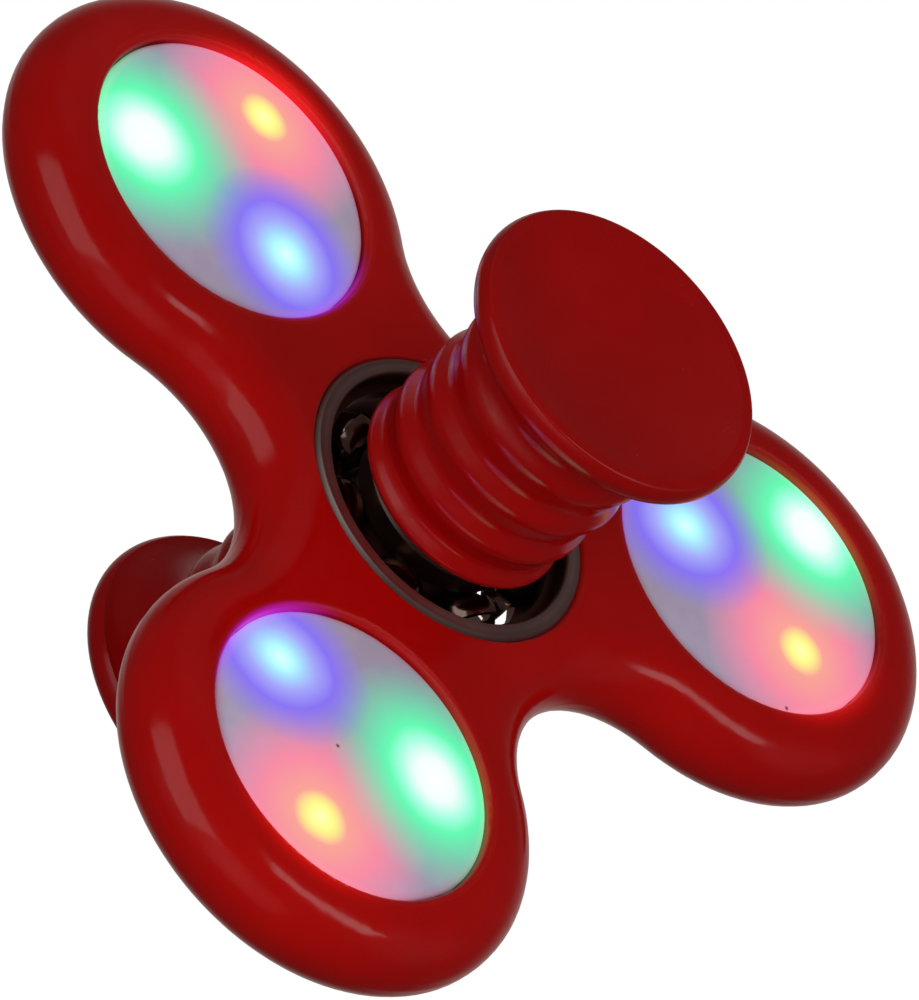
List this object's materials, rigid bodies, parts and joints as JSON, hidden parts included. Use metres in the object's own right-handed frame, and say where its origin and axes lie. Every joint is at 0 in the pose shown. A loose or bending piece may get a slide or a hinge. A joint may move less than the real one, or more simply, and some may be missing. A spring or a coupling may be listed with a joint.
{
  "type": "light-up finger spinner",
  "caption": "Tri-lobe finger spinner: glossy red frame on a ball bearing, tall ribbed grip caps with dished heads, and frosted snap-in light modules.",
  "frame": {"origin": "centre of the bearing, on the spin axis at the middle of the frame's thickness", "axes": "+Z is the spin axis and points out of the front, lit side; +Y points along lobe A; +X to the right of it"},
  "size_m": [0.0772, 0.0711, 0.045],
  "materials": {
    "red_body": "high-gloss red ABS moulding",
    "red_cap": "glossy red plastic, slightly translucent on the ribs",
    "frosted_lens": "frosted translucent diffuser, lit from inside",
    "module_plastic": "satin off-white moulding",
    "board": "green solder mask",
    "resin": "black potting resin",
    "contact_steel": "nickel-plated spring strip",
    "cell_steel": "bright nickel can",
    "switch": "black switch housing",
    "button_rubber": "satin off-white push pad",
    "led_red": "lit red LED",
    "led_green": "lit green LED",
    "led_blue": "lit blue LED",
    "bearing_steel": "ground bearing steel",
    "cage_steel": "pressed steel strip",
    "ball_steel": "polished ball steel"
  },
  "bodies": {
    "root": {"front_grip_cap": "red_cap", "rear_grip_cap": "red_cap", "bearing_inner_ring": "bearing_steel"},
    "rotor": {"spinner_frame": "red_body", "bearing_outer_ring": "bearing_steel", "lens_a": "frosted_lens", "module_cup_a": "module_plastic", "circuit_board_a": "board", "controller_a": "resin", "contact_plate_a": "contact_steel", "switch_body_a": "switch", "rear_cover_a": "module_plastic", "red_led_a": "led_red", "green_led_a": "led_green", "blue_led_a": "led_blue", "button_cell_1_a": "cell_steel", "button_cell_2_a": "cell_steel", "button_cell_3_a": "cell_steel", "lens_b": "frosted_lens", "module_cup_b": "module_plastic", "circuit_board_b": "board", "controller_b": "resin", "contact_plate_b": "contact_steel", "switch_body_b": "switch", "rear_cover_b": "module_plastic", "red_led_b": "led_red", "green_led_b": "led_green", "blue_led_b": "led_blue", "button_cell_1_b": "cell_steel", "button_cell_2_b": "cell_steel", "button_cell_3_b": "cell_steel", "lens_c": "frosted_lens", "module_cup_c": "module_plastic", "circuit_board_c": "board", "controller_c": "resin", "contact_plate_c": "contact_steel", "switch_body_c": "switch", "rear_cover_c": "module_plastic", "red_led_c": "led_red", "green_led_c": "led_green", "blue_led_c": "led_blue", "button_cell_1_c": "cell_steel", "button_cell_2_c": "cell_steel", "button_cell_3_c": "cell_steel"},
    "cage": {"cage_front_half": "cage_steel", "cage_rear_half": "cage_steel", "cage_rivets": "cage_steel"},
    "ball_1": {"bearing_ball_1": "ball_steel"},
    "ball_2": {"bearing_ball_2": "ball_steel"},
    "ball_3": {"bearing_ball_3": "ball_steel"},
    "ball_4": {"bearing_ball_4": "ball_steel"},
    "ball_5": {"bearing_ball_5": "ball_steel"},
    "ball_6": {"bearing_ball_6": "ball_steel"},
    "ball_7": {"bearing_ball_7": "ball_steel"},
    "button_a": {"mode_button_a": "button_rubber"},
    "button_b": {"mode_button_b": "button_rubber"},
    "button_c": {"mode_button_c": "button_rubber"}
  },
  "joints": [
    {"name": "spin", "type": "hinge", "parent": "root", "child": "rotor", "pos_m": [0, 0, 0], "axis": [0, 0, 1], "continuous": true},
    {"name": "cage_turn", "type": "hinge", "parent": "root", "child": "cage", "pos_m": [0, 0, 0], "axis": [0, 0, 1], "continuous": true},
    {"name": "ball_roll_1", "type": "hinge", "parent": "cage", "child": "ball_1", "pos_m": [-0.00169, 0.00731, 0], "axis": [0, 0, 1], "continuous": true},
    {"name": "ball_roll_2", "type": "hinge", "parent": "cage", "child": "ball_2", "pos_m": [-0.00677, 0.00324, 0], "axis": [0, 0, 1], "continuous": true},
    {"name": "ball_roll_3", "type": "hinge", "parent": "cage", "child": "ball_3", "pos_m": [-0.00675, -0.00327, 0], "axis": [0, 0, 1], "continuous": true},
    {"name": "ball_roll_4", "type": "hinge", "parent": "cage", "child": "ball_4", "pos_m": [-0.00165, -0.00732, 0], "axis": [0, 0, 1], "continuous": true},
    {"name": "ball_roll_5", "type": "hinge", "parent": "cage", "child": "ball_5", "pos_m": [0.00469, -0.00585, 0], "axis": [0, 0, 1], "continuous": true},
    {"name": "ball_roll_6", "type": "hinge", "parent": "cage", "child": "ball_6", "pos_m": [0.0075, 0.00002, 0], "axis": [0, 0, 1], "continuous": true},
    {"name": "ball_roll_7", "type": "hinge", "parent": "cage", "child": "ball_7", "pos_m": [0.00466, 0.00588, 0], "axis": [0, 0, 1], "continuous": true},
    {"name": "mode_press_a", "type": "slide", "parent": "rotor", "child": "button_a", "axis": [0, 0, 1], "range_m": [0, 0.0004], "stiffness_N_per_m": 600, "springref_m": -0.0006},
    {"name": "mode_press_b", "type": "slide", "parent": "rotor", "child": "button_b", "axis": [0, 0, 1], "range_m": [0, 0.0004], "stiffness_N_per_m": 600, "springref_m": -0.0006},
    {"name": "mode_press_c", "type": "slide", "parent": "rotor", "child": "button_c", "axis": [0, 0, 1], "range_m": [0, 0.0004], "stiffness_N_per_m": 600, "springref_m": -0.0006}
  ],
  "couplings": [
    {"joint": "cage_turn", "follows": "spin", "ratio": 0.6323},
    {"joint": "ball_roll_1", "follows": "spin", "ratio": 1.7573},
    {"joint": "ball_roll_2", "follows": "spin", "ratio": 1.7573},
    {"joint": "ball_roll_3", "follows": "spin", "ratio": 1.7573},
    {"joint": "ball_roll_4", "follows": "spin", "ratio": 1.7573},
    {"joint": "ball_roll_5", "follows": "spin", "ratio": 1.7573},
    {"joint": "ball_roll_6", "follows": "spin", "ratio": 1.7573},
    {"joint": "ball_roll_7", "follows": "spin", "ratio": 1.7573}
  ]
}
